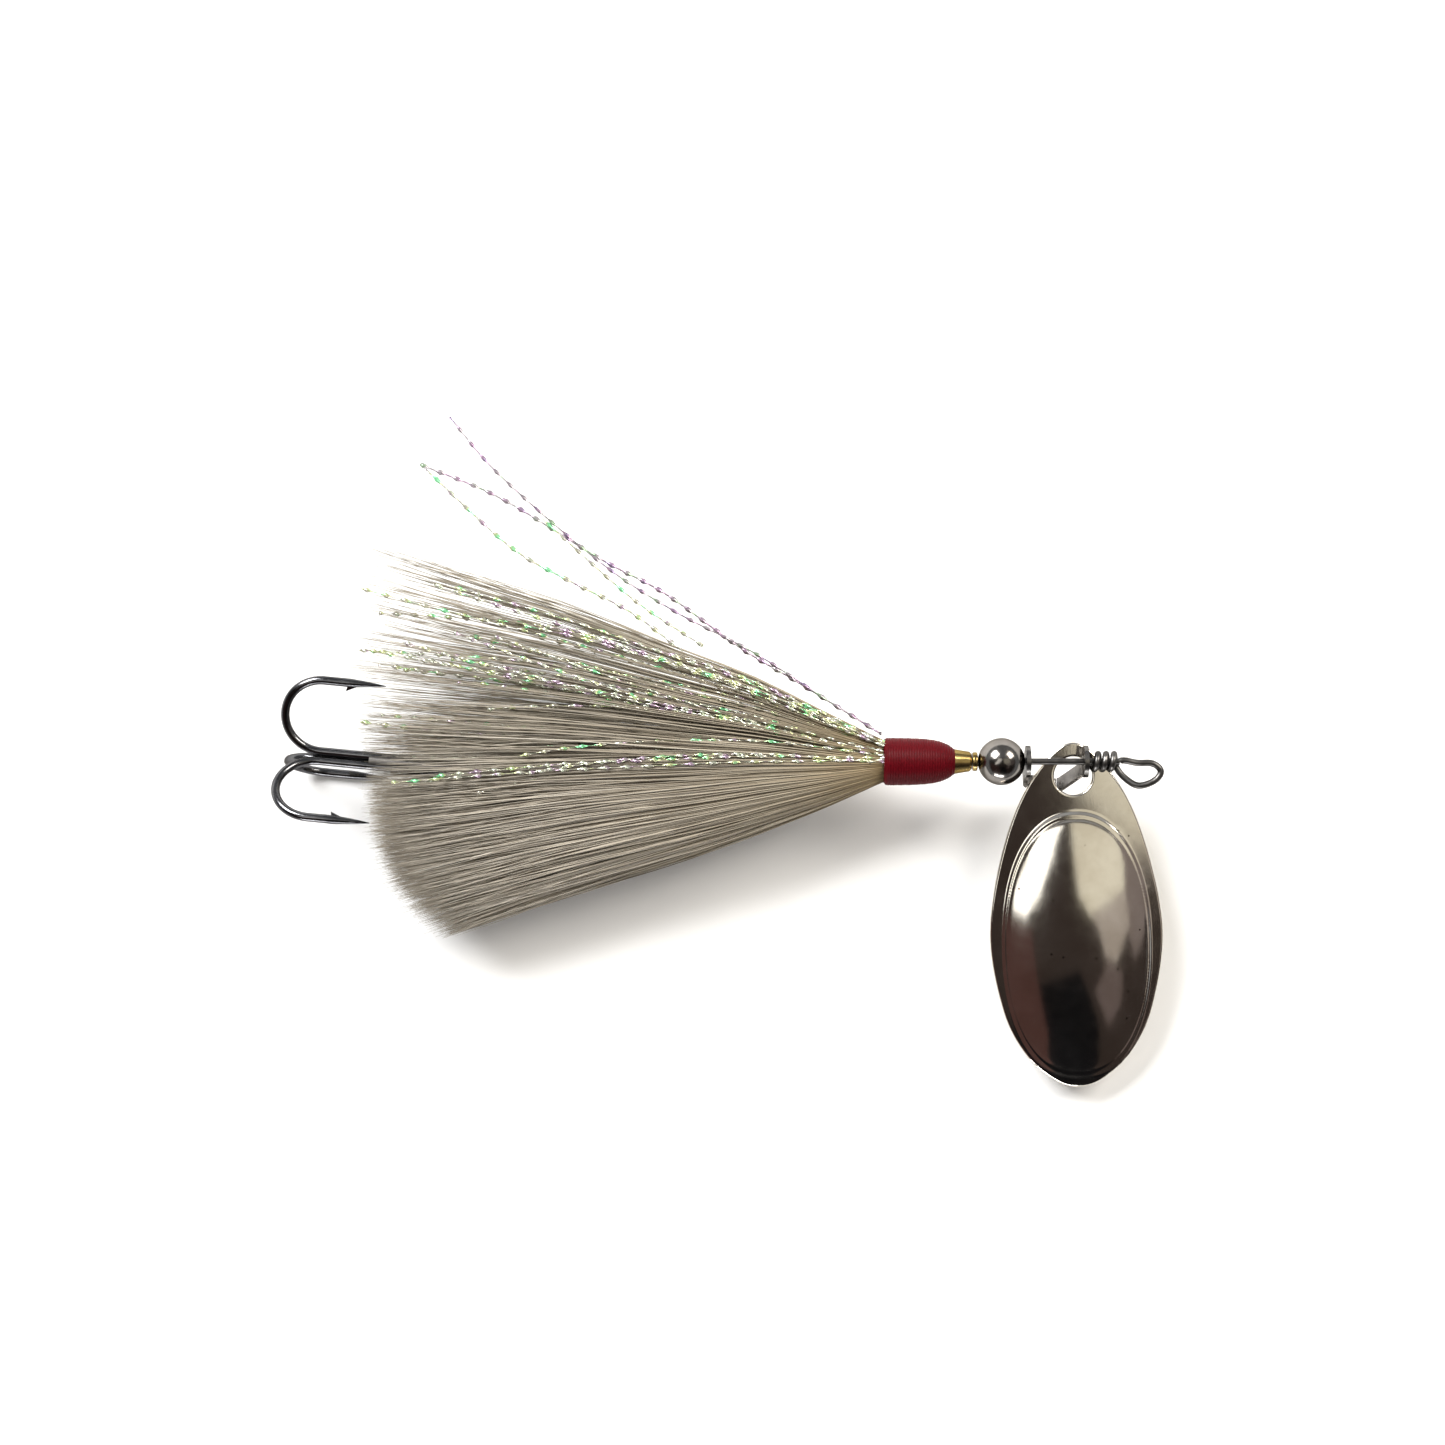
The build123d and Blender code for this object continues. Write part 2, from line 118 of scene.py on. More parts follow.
def bump(tree, shader, height, distance, strength=1.0):
    """Raises the surface by the height, up to the distance in metres."""
    node = add_node(tree, "ShaderNodeBump", Strength=strength, Distance=distance)
    tree.links.new(height, node.inputs["Height"])
    tree.links.new(node.outputs["Normal"], shader.inputs["Normal"])


GRAZING_TINT = (0.40, 0.39, 0.38, 1)


def metal(name, dark, light, rough_low, rough_high, grain, depth, stretch=(1, 1, 1)):
    """Plated or drawn metal: fine grain in its relief, with smudges in its colour and roughness."""
    material, tree, shader = new_material(name)
    shader.inputs["Metallic"].default_value = 1.0
    shader.inputs["Specular Tint"].default_value = GRAZING_TINT
    smudge = noise(tree, 420, detail=5)
    tree.links.new(ramp(tree, smudge, (0.35, dark), (0.65, light)), shader.inputs["Base Color"])
    span = add_node(tree, "ShaderNodeMapRange")
    span.inputs["To Min"].default_value = rough_low
    span.inputs["To Max"].default_value = rough_high
    tree.links.new(noise(tree, 1500, detail=6), span.inputs["Value"])
    tree.links.new(span.outputs["Result"], shader.inputs["Roughness"])
    bump(tree, shader, noise(tree, grain, detail=3, stretch=stretch), depth)
    return material


PIT_CELLS = 900.0          # cells per metre
PITTED_SHARE = 0.14        # of the cells
PIT_SIZE = 0.11            # of a cell


def nickel_material():
    """Polished nickel with sparse dark pits and fine scratches.

    The pits are the middles of a few randomly chosen cells.
    """
    material, tree, shader = new_material("polished_nickel")
    shader.inputs["Metallic"].default_value = 1.0
    shader.inputs["Specular Tint"].default_value = GRAZING_TINT
    pits = add_node(tree, "ShaderNodeTexVoronoi", Scale=PIT_CELLS)
    place = add_node(tree, "ShaderNodeTexCoord")
    tree.links.new(place.outputs["Object"], pits.inputs["Vector"])
    rare = add_node(tree, "ShaderNodeSeparateColor")
    tree.links.new(pits.outputs["Color"], rare.inputs["Color"])
    chosen = add_node(tree, "ShaderNodeMath", operation="GREATER_THAN")
    tree.links.new(rare.outputs["Red"], chosen.inputs[0])
    chosen.inputs[1].default_value = 1 - PITTED_SHARE
    near = add_node(tree, "ShaderNodeMath", operation="LESS_THAN")
    tree.links.new(pits.outputs["Distance"], near.inputs[0])
    near.inputs[1].default_value = PIT_SIZE
    pit = add_node(tree, "ShaderNodeMath", operation="MULTIPLY")
    tree.links.new(chosen.outputs[0], pit.inputs[0])
    tree.links.new(near.outputs[0], pit.inputs[1])
    tone = ramp(tree, noise(tree, 260), (0.35, (0.76, 0.71, 0.63)), (0.65, (0.88, 0.84, 0.77)))
    mix = add_node(tree, "ShaderNodeMix", data_type="RGBA")
    tree.links.new(pit.outputs[0], mix.inputs["Factor"])
    tree.links.new(tone, mix.inputs["A"])
    mix.inputs["B"].default_value = (0.25, 0.21, 0.17, 1)
    tree.links.new(mix.outputs["Result"], shader.inputs["Base Color"])
    span = add_node(tree, "ShaderNodeMapRange")
    span.inputs["To Min"].default_value = 0.07
    span.inputs["To Max"].default_value = 0.16
    tree.links.new(noise(tree, 700, detail=6), span.inputs["Value"])
    tree.links.new(span.outputs["Result"], shader.inputs["Roughness"])
    bump(tree, shader, noise(tree, 9000, detail=2, stretch=(1, 0.12, 1)), 2e-6, 0.5)
    return material


def thread_material():
    """Deep red thread under lacquer."""
    material, tree, shader = new_material("red_thread")
    fibre = noise(tree, 9000, detail=3, stretch=(3, 0.5, 0.5))
    tone = ramp(tree, fibre, (0.3, (0.032, 0.0004, 0.0016)), (0.7, (0.11, 0.0012, 0.005)))
    tree.links.new(tone, shader.inputs["Base Color"])
    shader.inputs["Roughness"].default_value = 0.5
    shader.inputs["Specular IOR Level"].default_value = 0.06
    shader.inputs["Coat Weight"].default_value = 0.03
    shader.inputs["Coat Roughness"].default_value = 0.22
    bump(tree, shader, fibre, 1.5e-5)
    return material


def hair_material():
    """Bucktail: creamy at the tie, grey beige toward the tips, each hair a little different."""
    material, tree, shader = new_material("bucktail_hair")
    own = add_node(tree, "ShaderNodeAttribute", attribute_name="tint")
    tone = ramp(
        tree,
        own.outputs["Fac"],
        (0.0, (0.11, 0.095, 0.075)),
        (0.35, (0.25, 0.215, 0.165)),
        (0.75, (0.37, 0.33, 0.265)),
        (1.0, (0.56, 0.52, 0.44)),
    )
    along = add_node(tree, "ShaderNodeAttribute", attribute_name="along")
    root = ramp(
        tree,
        along.outputs["Fac"],
        (0.0, (0.86, 0.72, 0.46)),
        (0.22, (0.96, 0.93, 0.86)),
        (0.6, (1, 1, 1)),
    )
    mix = add_node(tree, "ShaderNodeMix", data_type="RGBA", blend_type="MULTIPLY")
    mix.inputs["Factor"].default_value = 1.0
    tree.links.new(tone, mix.inputs["A"])
    tree.links.new(root, mix.inputs["B"])
    tree.links.new(mix.outputs["Result"], shader.inputs["Base Color"])
    shader.inputs["Roughness"].default_value = 0.42
    shader.inputs["Specular IOR Level"].default_value = 0.55
    bump(tree, shader, noise(tree, 12000, detail=2), 4e-6)
    return material


def flash_material(name, tints):
    """Twisted film: a silvery ribbon whose tint drifts."""
    material, tree, shader = new_material(name)
    places = (0.36, 0.43, 0.50, 0.57, 0.64)
    tone = ramp(tree, noise(tree, 520, detail=2), *zip(places, tints))
    tree.links.new(tone, shader.inputs["Base Color"])
    shader.inputs["Metallic"].default_value = 0.7
    shader.inputs["Roughness"].default_value = 0.18
    bump(tree, shader, noise(tree, 5000, detail=2), 5e-6)
    return material


nickel = nickel_material()
steel = metal(
    "steel_wire", (0.065, 0.062, 0.060), (0.13, 0.125, 0.12), 0.26, 0.40, 14000, 2e-6, (0.1, 1, 1)
)
dark_nickel = metal("clevis_plate", (0.13, 0.125, 0.12), (0.24, 0.23, 0.22), 0.20, 0.34, 9000, 3e-6)
brass = metal(
    "turned_brass", (0.24, 0.165, 0.06), (0.42, 0.31, 0.13), 0.16, 0.30, 12000, 3e-6, (1, 0.1, 0.1)
)
black_nickel = metal("hook_plate", (0.07, 0.07, 0.075), (0.15, 0.15, 0.155), 0.12, 0.24, 6000, 2e-6)
braze = metal("braze_metal", (0.09, 0.085, 0.08), (0.19, 0.18, 0.17), 0.25, 0.45, 5000, 1.2e-5)
bead_nickel = metal("bead_plate", (0.20, 0.187, 0.175), (0.29, 0.27, 0.25), 0.12, 0.22, 5000, 1e-6)
thread = thread_material()
hair = hair_material()
loose_film = flash_material(
    "flash_film_loose",
    (
        (0.30, 0.40, 0.28),
        (0.40, 0.36, 0.39),
        (0.34, 0.29, 0.34),
        (0.42, 0.28, 0.40),
        (0.26, 0.20, 0.33),
    ),
)
field_film = flash_material(
    "flash_film_field",
    (
        (0.30, 0.80, 0.42),
        (0.62, 0.66, 0.34),
        (0.50, 0.47, 0.42),
        (0.60, 0.66, 0.50),
        (0.46, 0.34, 0.44),
    ),
)

NODE_FINISH = {
    "wire_shaft": steel,
    "clevis": dark_nickel,
    "blade": nickel,
    "bead": bead_nickel,
    "spacer_ring": brass,
    "brass_body": brass,
    "hook_double": black_nickel,
    "hook_single": black_nickel,
    "hook_braze": braze,
}
for name, finish in NODE_FINISH.items():
    mesh = frame["nodes"][name].data
    mesh.materials.clear()
    mesh.materials.append(finish)


# ---- mesh helpers ---------------------------------------------------------------------------------
def mesh_object(name, points, faces, finish, marks=None):
    """An object of its own from arrays, smooth shaded, with per-point marks as float attributes."""
    mesh = bpy.data.meshes.new(name)
    mesh.from_pydata([tuple(p) for p in points], [], [tuple(f) for f in faces])
    for mark, values in (marks or {}).items():
        attribute = mesh.attributes.new(mark, "FLOAT", "POINT")
        attribute.data.foreach_set("value", np.asarray(values, np.float32))
    mesh.materials.append(finish)
    mesh.shade_smooth()
    obj = bpy.data.objects.new(name, mesh)
    scene.collection.objects.link(obj)
    return obj


class Bundle:
    """Collects many strands in one mesh."""

    def __init__(self):
        self.points = []
        self.faces = []
        self.tint = []
        self.along = []
        self.count = 0

    def add(self, route, widths, thickness, twist_per_m=0.0, sides=3, tint=0.5, phase=0.0):
        """Adds a strand of elliptical section along the route.

        Its half widths are given at each point; the thickness is the section's other axis over them.
        """
        route = np.asarray(route)
        steps = np.gradient(route, axis=0)
        steps /= np.linalg.norm(steps, axis=1)[:, None]
        side = np.cross(steps, (0, 0, 1))
        side /= np.linalg.norm(side, axis=1)[:, None]
        rise = np.cross(side, steps)
        length = np.concatenate(([0], np.cumsum(np.linalg.norm(np.diff(route, axis=0), axis=1))))
        turn = phase + twist_per_m * length * math.tau
        across = side * np.cos(turn)[:, None] + rise * np.sin(turn)[:, None]
        up = rise * np.cos(turn)[:, None] - side * np.sin(turn)[:, None]
        ring = []
        for corner in range(sides):
            angle = math.tau * corner / sides
            ring.append(
                route
                + across * (widths * math.cos(angle))[:, None]
                + up * (widths * thickness * math.sin(angle))[:, None]
            )
        rings = np.stack(ring, axis=1)
        self.points.append(rings.reshape(-1, 3))
        last = len(route) - 1
        for i in range(last):
            for j in range(sides):
                k = (j + 1) % sides
                a = self.count + i * sides
                self.faces.append((a + j, a + k, a + sides + k, a + sides + j))
        self.faces.append(tuple(self.count + j for j in range(sides))[::-1])
        self.faces.append(tuple(self.count + last * sides + j for j in range(sides)))
        self.count += sides * len(route)
        share = np.repeat(length / length[-1], sides)
        self.along.append(share)
        self.tint.append(np.full(len(share), tint))

    def build(self, name, finish):
        marks = {"tint": np.concatenate(self.tint), "along": np.concatenate(self.along)}
        return mesh_object(name, np.concatenate(self.points), self.faces, finish, marks)


def smooth_route(knots, count):
    """A smooth curve through the knots, as points even in their index."""
    knots = np.asarray(knots, float)
    padded = np.vstack((2 * knots[0] - knots[1], knots, 2 * knots[-1] - knots[-2]))
    where = np.linspace(0, len(knots) - 1.0001, count)
    whole = where.astype(int)
    t = (where - whole)[:, None]
    a, b, c, d = (padded[whole + i] for i in range(4))
    square = 2 * a - 5 * b + 4 * c - d
    cube = 3 * b - a - 3 * c + d
    return 0.5 * (2 * b + (c - a) * t + square * t**2 + cube * t**3)


# ---- thread wrap: a helical relief over the tied shape --------------------------------------------
def thread_profile(x):
    """Radius of the wrap at x: full at the tie, tapering onto the brass nose."""
    from_front = (thread_high.x - x) / MM
    full = (thread_high.z - thread_low.z) / 2 / MM
    front = 1.27 + (full - 1.27) * (1 - math.exp(-from_front / 1.25))
    from_rear = (x - thread_low.x) / MM
    short = 0.5 - min(from_rear, 0.5)
    rear = full - 0.5 + math.sqrt(max(0.0, 0.25 - short**2))
    return min(front, full, rear) * MM


THREAD_PITCH = 0.26 * MM
STATIONS_PER_TURN = 9
RIDGE_DEPTH = 0.055 * MM


def build_thread():
    """Turns of thread as ridges on one closed skin."""
    pitch = THREAD_PITCH
    around = 72
    stations = int((thread_high.x - thread_low.x) / pitch * STATIONS_PER_TURN)
    points, faces = [], []
    for i in range(stations + 1):
        x = thread_low.x + (thread_high.x - thread_low.x) * i / stations
        for j in range(around):
            turn = j / around
            ridge = abs(math.sin(math.pi * ((x - thread_low.x) / pitch + turn)))
            lay = 0.03 * MM * math.sin(math.tau * (2 * turn + 9 * i / stations))
            radius = thread_profile(x) - RIDGE_DEPTH * (1 - ridge) + 0.3 * lay
            angle = math.tau * turn
            points.append((x, shaft_y + radius * math.cos(angle), radius * math.sin(angle)))
    for i in range(stations):
        for j in range(around):
            k = (j + 1) % around
            a = i * around
            faces.append((a + j, a + around + j, a + around + k, a + k))
    faces.append(tuple(range(around)))
    faces.append(tuple(stations * around + j for j in range(around))[::-1])
    wrap = mesh_object("thread_turns", points, faces, thread)
    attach(wrap, "dressing")
    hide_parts("thread_wrap")


build_thread()

# ---- blade: one stamped sheet with a rolled edge and a stepped oval dome --------------------------
SHEET = 0.5 * MM
EDGE_ROLL = 0.22 * MM
HOLE_R = 1.9 * MM
HOLE_FROM_TIP = 3.4 * MM
OVAL_FROM_TIP = 20.7 * MM
OVAL = (7.2 * MM, 13.1 * MM)
OVAL_POWER = 2.2
STEP_WIDTH = 0.45 * MM
STEP_RISE = 0.17 * MM
DOME_RISE = 1.25 * MM
RIM_CURL = 0.30 * MM
BOW = 0.60 * MM
LEAF_SHAPE = ((0.47, 3.5), (0.80, 9.9), (1.0, 19.0), (0.87, 27.1), (0.61, 31.9), (0.27, 34.6))
LEAF_HALF_WIDTH = 8.8 * MM
LEAF_LENGTH = 35.3 * MM
BLADE_LEAN = math.radians(1.8)
GRID = 0.42 * MM           # between the sheet's inner mesh points
JITTER = 0.05              # mm that each of them strays
EDGE_MARGIN = 0.65 * MM    # from them to the edge or the hole


def leaf_outline(count):
    """Points round the blade's edge in its own plane: the hole at the origin, the tip up."""
    right = [(share * LEAF_HALF_WIDTH, HOLE_FROM_TIP - down * MM) for share, down in LEAF_SHAPE]
    left = [(-x, y) for x, y in reversed(right)]
    knots = [(0, HOLE_FROM_TIP), *right, (0, HOLE_FROM_TIP - LEAF_LENGTH), *left]
    closed = np.array(knots[-2:] + knots + knots[:2])
    rough = smooth_route(closed, 2400)
    first = np.argmin(np.linalg.norm(rough[:1200] - knots[0], axis=1))
    last = 1200 + np.argmin(np.linalg.norm(rough[1200:] - knots[0], axis=1))
    loop = rough[first:last]
    length = np.concatenate(([0], np.cumsum(np.linalg.norm(np.diff(loop, axis=0), axis=1))))
    even = np.linspace(0, length[-1], count, endpoint=False)
    return np.stack([np.interp(even, length, loop[:, i]) for i in (0, 1)], axis=1)


def inset(outline, amount):
    """The closed outline moved inward."""
    tangent = np.roll(outline, -1, axis=0) - np.roll(outline, 1, axis=0)
    tangent /= np.linalg.norm(tangent, axis=1)[:, None]
    return outline + np.stack((tangent[:, 1], -tangent[:, 0]), axis=1) * amount


def oval_place(x, y):
    """0 at the dome's middle, 1 on its edge."""
    across = abs(x) / OVAL[0]
    along = abs(y - (HOLE_FROM_TIP - OVAL_FROM_TIP)) / OVAL[1]
    return (across**OVAL_POWER + along**OVAL_POWER) ** (1 / OVAL_POWER)


def ease(t):
    """Rises smoothly from 0 to 1 while t does."""
    t = min(1.0, max(0.0, t))
    return t * t * (3 - 2 * t)


def bow_height(y):
    """How far the bow along the blade's length lifts it, nothing at the hole."""
    half = LEAF_LENGTH / 2
    middle = HOLE_FROM_TIP - half
    return BOW * ((middle / half) ** 2 - ((y - middle) / half) ** 2)


def sheet_height(x, y):
    """Height of the sheet's middle: bow, a slight curl at the rim, a step round the oval, the dome."""
    place = oval_place(x, y)
    outside = (place - 1) * OVAL[0]
    step = STEP_RISE * ease((STEP_WIDTH - outside) / STEP_WIDTH)
    groove = -0.03 * MM * math.exp(-((outside + 0.05 * MM) / (0.11 * MM)) ** 2)
    dome = DOME_RISE * (1 - min(place, 1.0) ** 2.1)
    return step + groove + dome + bow_height(y) - RIM_CURL * (x / LEAF_HALF_WIDTH) ** 2


def build_blade():
    """Both faces share one flat triangulation; the edge and the hole are rolled round to join them."""
    outline = leaf_outline(260)
    rolls = [EDGE_ROLL * (1 - math.cos(math.radians(a))) for a in (0, 22, 45, 68, 90)]
    rolls += [1.3 * EDGE_ROLL, 1.8 * EDGE_ROLL]
    loops = [inset(outline, amount) for amount in rolls]
    turns = np.linspace(0, math.tau, 72, endpoint=False)
    ring = np.stack((np.cos(turns), np.sin(turns)), axis=1)
    loops += [ring * (HOLE_R + amount) for amount in rolls]
    oval_y = HOLE_FROM_TIP - OVAL_FROM_TIP
    turns = np.linspace(0, math.tau, 240, endpoint=False)
    power = 2 / OVAL_POWER
    oval = np.stack(
        (
            OVAL[0] * np.sign(np.cos(turns)) * np.abs(np.cos(turns)) ** power,
            OVAL[1] * np.sign(np.sin(turns)) * np.abs(np.sin(turns)) ** power,
        ),
        axis=1,
    )
    for scale in (0.90, 0.95, 0.975, 0.99, 1.0, 1.008, 1.016, 1.025, 1.034, 1.043, 1.052, 1.061, 1.07):
        loops.append(oval * scale + (0, oval_y))
    points, edges = [], []
    for index, loop in enumerate(loops):
        base = len(points)
        points += [Vector(p) for p in loop]
        if index in (0, len(rolls)):
            edges += [(base + i, base + (i + 1) % len(loop)) for i in range(len(loop))]
    draw = random.Random(5)
    safe = inset(outline, 0.5 * MM)
    low_x, high_x = safe[:, 0].min(), safe[:, 0].max()
    y = safe[:, 1].min()
    while y < safe[:, 1].max():
        x = low_x
        while x < high_x:
            spot = (x + draw.uniform(-JITTER, JITTER) * MM, y + draw.uniform(-JITTER, JITTER) * MM)
            place = oval_place(*spot)
            clear_of_ring = place < 0.87 or place > 1.09
            near_edge = np.linalg.norm(outline - spot, axis=1).min() < EDGE_MARGIN
            if clear_of_ring and not near_edge and math.hypot(*spot) > HOLE_R + EDGE_MARGIN:
                points.append(Vector(spot))
            x += GRID
        y += GRID
    flat, _, triangles, *_ = delaunay_2d_cdt(points, edges, [], 1, 1e-7)
    middles = [sum((flat[i] for i in t), Vector((0, 0))) / 3 for t in triangles]
    triangles = [t for t, middle in zip(triangles, middles) if middle.length > HOLE_R]

    def rolled(x, y):
        """Half the sheet's thickness there, falling to nothing round the rolled edges."""
        away = min(np.linalg.norm(outline - (x, y), axis=1).min(), abs(math.hypot(x, y) - HOLE_R))
        side = max(0.0, 1 - away / EDGE_ROLL)
        return SHEET / 2 * math.sqrt(max(0.0, 1 - side**2))

    pos = joints["blade_swing"]["pos_m"]
    end = HOLE_FROM_TIP - LEAF_LENGTH
    slope = math.asin((pos[2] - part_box("blade")[0].z - SHEET / 2 + bow_height(end)) / -end)
    place = (
        Matrix.Translation(pos)
        @ Matrix.Rotation(BLADE_LEAN, 4, "Z")
        @ Matrix.Rotation(slope, 4, "X")
    )
    verts, faces = [], []
    for side in (1, -1):
        for p in flat:
            height = sheet_height(p.x, p.y) + side * rolled(p.x, p.y)
            verts.append(place @ Vector((p.x, p.y, height)))
    count = len(flat)
    for t in triangles:
        faces.append(tuple(t))
        faces.append(tuple(i + count for i in reversed(t)))
    sheet = mesh_object("blade_sheet", verts, faces, nickel)
    weld = sheet.modifiers.new("weld", "WELD")
    weld.merge_threshold = 1e-6
    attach(sheet, "blade")
    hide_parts("blade")


# ---- bead -----------------------------------------------------------------------------------------
def build_bead():
    """A round bead with a bored, slightly eased hole."""
    bead_low, bead_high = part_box("bead")
    middle = (bead_low + bead_high) / 2
    radius = (bead_high.z - bead_low.z) / 2
    bore = 0.43 * MM
    start = math.asin((bore + 0.06 * MM) / radius)
    sweep = np.linspace(start, math.pi - start, 60)
    profile = [(radius * math.cos(angle), radius * math.sin(angle)) for angle in sweep]
    inner = [(profile[-1][0] + 0.05 * MM, bore), (profile[0][0] - 0.05 * MM, bore)]
    outline = profile + inner
    around = 96
    points, faces = [], []
    for along, out in outline:
        for j in range(around):
            angle = math.tau * j / around
            points.append((middle.x + along, shaft_y + out * math.cos(angle), out * math.sin(angle)))
    for i in range(len(outline)):
        for j in range(around):
            k = (j + 1) % around
            a, b = i * around, ((i + 1) % len(outline)) * around
            faces.append((a + j, b + j, b + k, a + k))
    ball = mesh_object("bead_ball", points, faces, bead_nickel)
    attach(ball, "bead")
    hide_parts("bead")


# ---- hair -----------------------------------------------------------------------------------------
# The lower and upper edge of the fan, as distances back from the tie and sideways from the wire, in mm.
LOWER_EDGE = ((0, -1.9), (3, -3.2), (16, -8.0), (28, -11.9), (41, -16.4), (54, -20.8))
UPPER_EDGE = ((0, 2.0), (2, 2.9), (13, 8.3), (32, 15.6), (49, 21.0), (54, 22.8))
# How far back the longest hairs reach at each share of the width, from the lower edge up, in mm.
REACH = (
    (0, 43.5),
    (0.1, 47.0),
    (0.19, 49.6),
    (0.31, 51.3),
    (0.46, 52.0),
    (0.7, 54.0),
    (0.9, 54.0),
    (1, 52.5),
)


def edge(points, back):
    """A value between the points, such as an edge's sideways place at a distance back from the tie."""
    return float(np.interp(back, [p[0] for p in points], [p[1] for p in points]))


def half_height(back):
    """How thick the fan is above and below its middle, in mm."""
    return float(np.interp(back, (0, 5, 12, 30, 42, 54), (1.9, 2.6, 3.5, 4.7, 4.7, 3.4)))


def middle_height(back):
    """How high the fan's middle lies over the wire, in mm."""
    return float(np.interp(back, (0, 12, 30, 54), (0.0, -0.4, -0.9, -1.6)))


def hair_route(draw, low, high, tufts, count=9):
    """One hair from the tie to its tip, in the part of the fan between two shares of its width."""
    share = draw.uniform(low, high)
    gather = draw.random() ** 0.4 * TUFTING * ease((share - 0.42) / 0.16)
    tuft = min(tufts, key=lambda spot: abs(spot - share))
    drift = draw.gauss(0, 0.016)
    reach = edge(REACH, share) * (1 - 0.26 * draw.random() ** 3.5) + draw.gauss(0, 0.4)
    layer = draw.uniform(-1, 1)
    wave = draw.gauss(0, 0.16)
    bow = draw.gauss(0, 0.5)
    knots = []
    for i in range(count):
        t = i / (count - 1)
        back = reach * t
        lean = share + (tuft - share) * gather * ease(1.6 * t)
        here = min(max(lean + drift * (2 * t - 1), 0.0), 1.0)
        low_y, high_y = edge(LOWER_EDGE, back), edge(UPPER_EDGE, back)
        sway = wave * t * math.sin(2.6 * math.pi * t) + bow * t * (1 - t) * 2
        y = low_y + (high_y - low_y) * here + sway
        room = math.sqrt(max(0.06, 1 - (2 * here - 1) ** 2))
        z = middle_height(back) + half_height(back) * layer * room * (0.95 - 0.25 * t**4)
        floor = table_z / MM + 0.15
        knots.append((tie_x - back * MM + 0.25 * MM, shaft_y + y * MM, max(z, floor) * MM))
    return smooth_route(knots, 2 * count - 1)


TUFTING = 0.95             # how closely the sparse hairs gather in tufts
TUFTS_ACROSS = 80          # over the fan's whole width
HAIR_FLATNESS = 0.85


def build_hair():
    """Six clumps from the lower edge up: the lower ones dense, the upper ones sparse and in tufts."""
    shares = (0.0, 0.14, 0.28, 0.42, 0.58, 0.76, 1.0)
    counts = (1500, 2000, 1900, 620, 170, 140)
    for number, amount in enumerate(counts, start=1):
        draw = random.Random(40 + number)
        bundle = Bundle()
        low_share, high_share = shares[number - 1], shares[number]
        tuft_count = int((high_share - low_share) * TUFTS_ACROSS)
        tufts = [draw.uniform(low_share, high_share) for _ in range(tuft_count)]
        for _ in range(amount):
            route = hair_route(draw, low_share, high_share, tufts)
            t = np.linspace(0, 1, len(route))
            thick = draw.uniform(0.045, 0.085) * MM
            swell = 0.75 + 0.25 * np.sin(math.pi * np.minimum(1, t * 1.6) / 2)
            widths = thick * swell * (1 - 0.88 * t**5)
            tint = min(1, max(0, draw.gauss(0.52, 0.17)))
            bundle.add(route, widths, HAIR_FLATNESS, tint=tint, phase=draw.random())
        clump = bundle.build(f"hair_{number}", hair)
        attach(clump, "dressing")
        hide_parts(f"hair_clump_{number}")


build_hair()
build_blade()
build_bead()

# ---- flash ----------------------------------------------------------------------------------------
FLASH_HALF_WIDTH = 0.26 * MM
FLASH_FLATNESS = 0.75
LOOSE_WAIST = 0.42
FIELD_WAIST = 0.12
FLASH_TURN = 3.9 * MM


def add_flash(bundle, knots, draw, waist):
    """A twisted ribbon through the knots, which are back, sideways and up from the tie in mm.

    Its width falls to the waist's share where it stands on edge.
    """
    placed = [(tie_x - back * MM, shaft_y + side * MM, up * MM) for back, side, up in knots]
    rough = smooth_route(placed, 60)
    length = np.linalg.norm(np.diff(rough, axis=0), axis=1).sum()
    route = smooth_route(placed, int(length / (FLASH_TURN / 12)))
    twist = 1 / (FLASH_TURN * draw.uniform(0.9, 1.1))
    phase = draw.random() * 6
    run = np.concatenate(([0], np.cumsum(np.linalg.norm(np.diff(route, axis=0), axis=1))))
    open_face = np.abs(np.cos(phase + twist * run * math.tau)) ** 5
    widths = FLASH_HALF_WIDTH * draw.uniform(0.85, 1.1) * (waist + (1 - waist) * open_face)
    bundle.add(route, widths, FLASH_FLATNESS, twist, sides=4, phase=phase)


LOOSE_FLASH = (
    ((0.2, 2.7, 0.8), (5.9, 6.3, 0.9), (12.8, 10.8, 0.7), (21.0, 15.1, 0.6), (28.4, 20.0, 0.6),
     (38.3, 28.6, 0.5), (43.3, 34.4, 0.3)),
    ((0.2, 2.8, -0.4), (8.8, 8.1, -0.2), (14.3, 11.4, -0.3), (21.8, 16.8, -0.4),
     (28.3, 20.3, -0.6), (38.3, 26.4, -1.2), (46.4, 29.8, -1.0)),
    ((18.0, 11.5, 2.2), (23.5, 15.1, 1.6), (27.0, 17.9, 1.2), (34.0, 24.2, 0.6)),
    ((20.0, 11.0, 2.6), (25.4, 15.0, 2.0), (31.1, 17.9, 1.5), (37.3, 21.5, 0.8), (45.7, 29.2, 0.2)),
)


